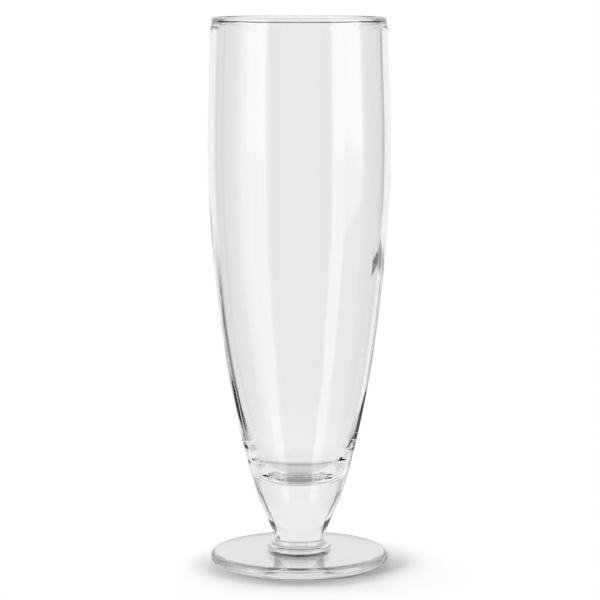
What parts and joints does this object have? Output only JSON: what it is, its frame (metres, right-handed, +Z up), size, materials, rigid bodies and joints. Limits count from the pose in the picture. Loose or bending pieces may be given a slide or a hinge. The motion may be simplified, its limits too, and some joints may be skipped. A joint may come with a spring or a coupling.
{
  "type": "pilsner glass",
  "caption": "Tall footed pilsner glass in clear glass: a slender bowl with a barrel top tapers into a short solid stem, a collar and a round flat foot.",
  "frame": {"origin": "on the table, in the middle of the foot's resting ring", "axes": "+Z up along the axis of the glass, from the foot to the rim"},
  "size_m": [0.0698, 0.0698, 0.21],
  "materials": {
    "clear_glass": "clear soda-lime glass, fire-polished"
  },
  "bodies": {
    "root": {"bowl": "clear_glass", "stem": "clear_glass", "collar": "clear_glass", "foot": "clear_glass"}
  },
  "joints": []
}
